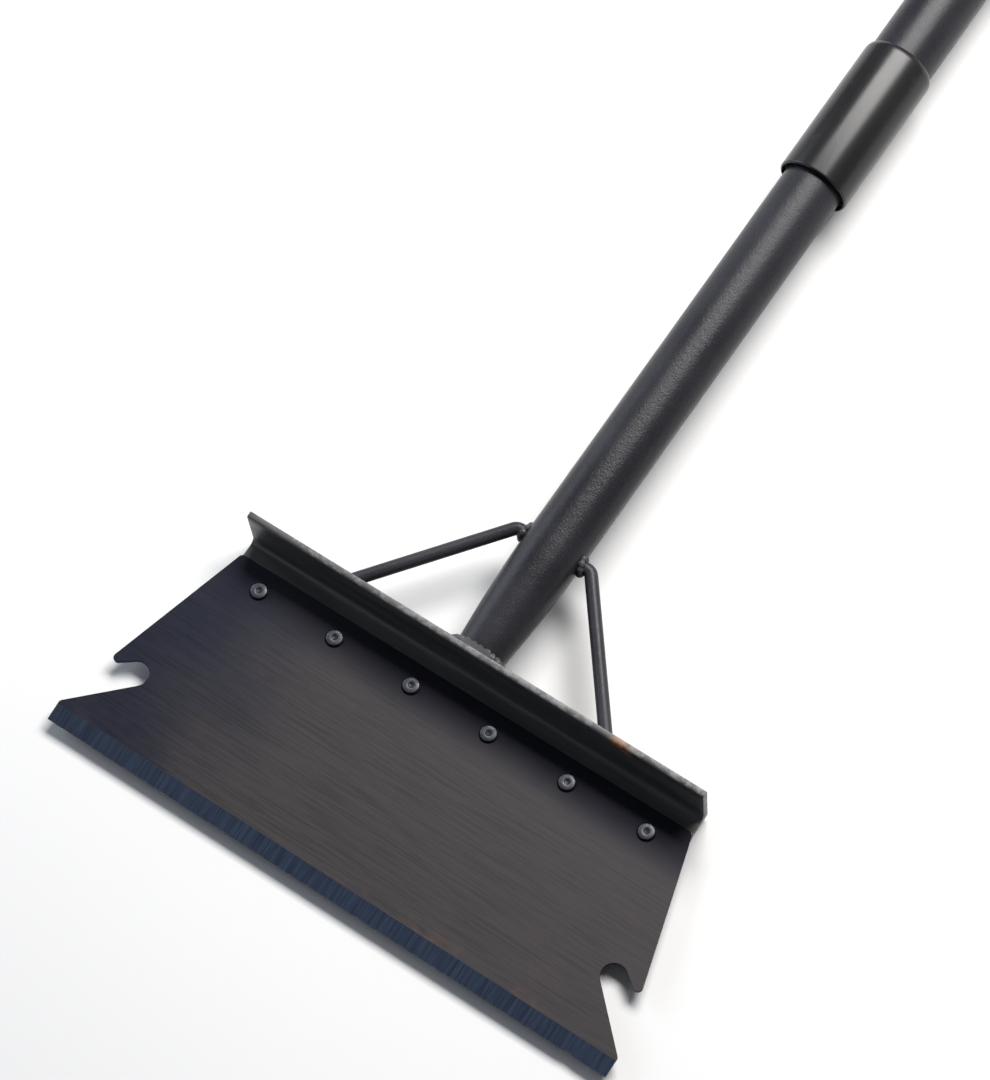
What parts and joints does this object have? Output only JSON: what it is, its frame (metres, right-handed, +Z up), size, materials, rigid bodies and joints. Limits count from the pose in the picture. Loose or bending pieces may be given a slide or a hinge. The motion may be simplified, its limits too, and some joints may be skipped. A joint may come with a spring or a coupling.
{
  "type": "floor scraper",
  "caption": "Long-handled floor scraper: bevelled blade with hook notches riveted to an angle bar, on a braced telescoping twist-lock tube handle.",
  "frame": {"origin": "on the floor under the middle of the tool, which lies on its back", "axes": "+Y from the cutting edge along the handle to the hanging eye, +X along the cutting edge, +Z up out of the blade's front face"},
  "size_m": [0.305, 1.233, 0.044],
  "materials": {
    "blade_steel": "satin dark spring steel, fine grain along the cutting edge",
    "bar_paint": "black powder coat",
    "rivet_steel": "dark plated steel",
    "mandrel_steel": "dark steel",
    "weld_paint": "coated weld bead",
    "tube_paint": "fine-grained graphite powder coat",
    "brace_paint": "graphite powder coat",
    "zinc": "bright zinc plate",
    "lock_plastic": "natural moulded plastic",
    "collar_plastic": "satin black moulded plastic",
    "grip_rubber": "matt black rubber",
    "cap_plastic": "matt black moulded plastic"
  },
  "bodies": {
    "head": {"blade": "blade_steel", "angle_bar": "bar_paint", "rivet_1": "rivet_steel", "rivet_2": "rivet_steel", "rivet_3": "rivet_steel", "rivet_4": "rivet_steel", "rivet_5": "rivet_steel", "rivet_6": "rivet_steel", "rivet_mandrel_1": "mandrel_steel", "rivet_mandrel_2": "mandrel_steel", "rivet_mandrel_3": "mandrel_steel", "rivet_mandrel_4": "mandrel_steel", "rivet_mandrel_5": "mandrel_steel", "rivet_mandrel_6": "mandrel_steel", "tube_weld": "weld_paint", "lower_tube": "tube_paint", "brace_left": "brace_paint", "brace_right": "brace_paint", "brace_foot_weld_left": "weld_paint", "brace_foot_weld_right": "weld_paint", "brace_top_weld_left": "weld_paint", "brace_top_weld_right": "weld_paint", "lock_plug": "lock_plastic", "lock_washer": "zinc", "lock_screw": "zinc"},
    "lock": {"lock_sleeve": "lock_plastic"},
    "cone": {"lock_cone": "lock_plastic"},
    "handle": {"collar": "collar_plastic", "upper_tube": "tube_paint", "grip": "grip_rubber", "end_cap": "cap_plastic"}
  },
  "joints": [
    {"name": "lock_twist", "type": "hinge", "parent": "head", "child": "lock", "pos_m": [0, 0.2247, 0.022], "axis": [0, 1, 0], "range_deg": [0, 270]},
    {"name": "cone_draw", "type": "slide", "parent": "lock", "child": "cone", "axis": [0, 1, 0], "range_m": [0, 0.003]},
    {"name": "handle_slide", "type": "slide", "parent": "lock", "child": "handle", "axis": [0, 1, 0], "range_m": [-0.19, 0.3]}
  ],
  "couplings": [
    {"joint": "cone_draw", "follows": "lock_twist", "m_per_rad": 0.000636}
  ]
}
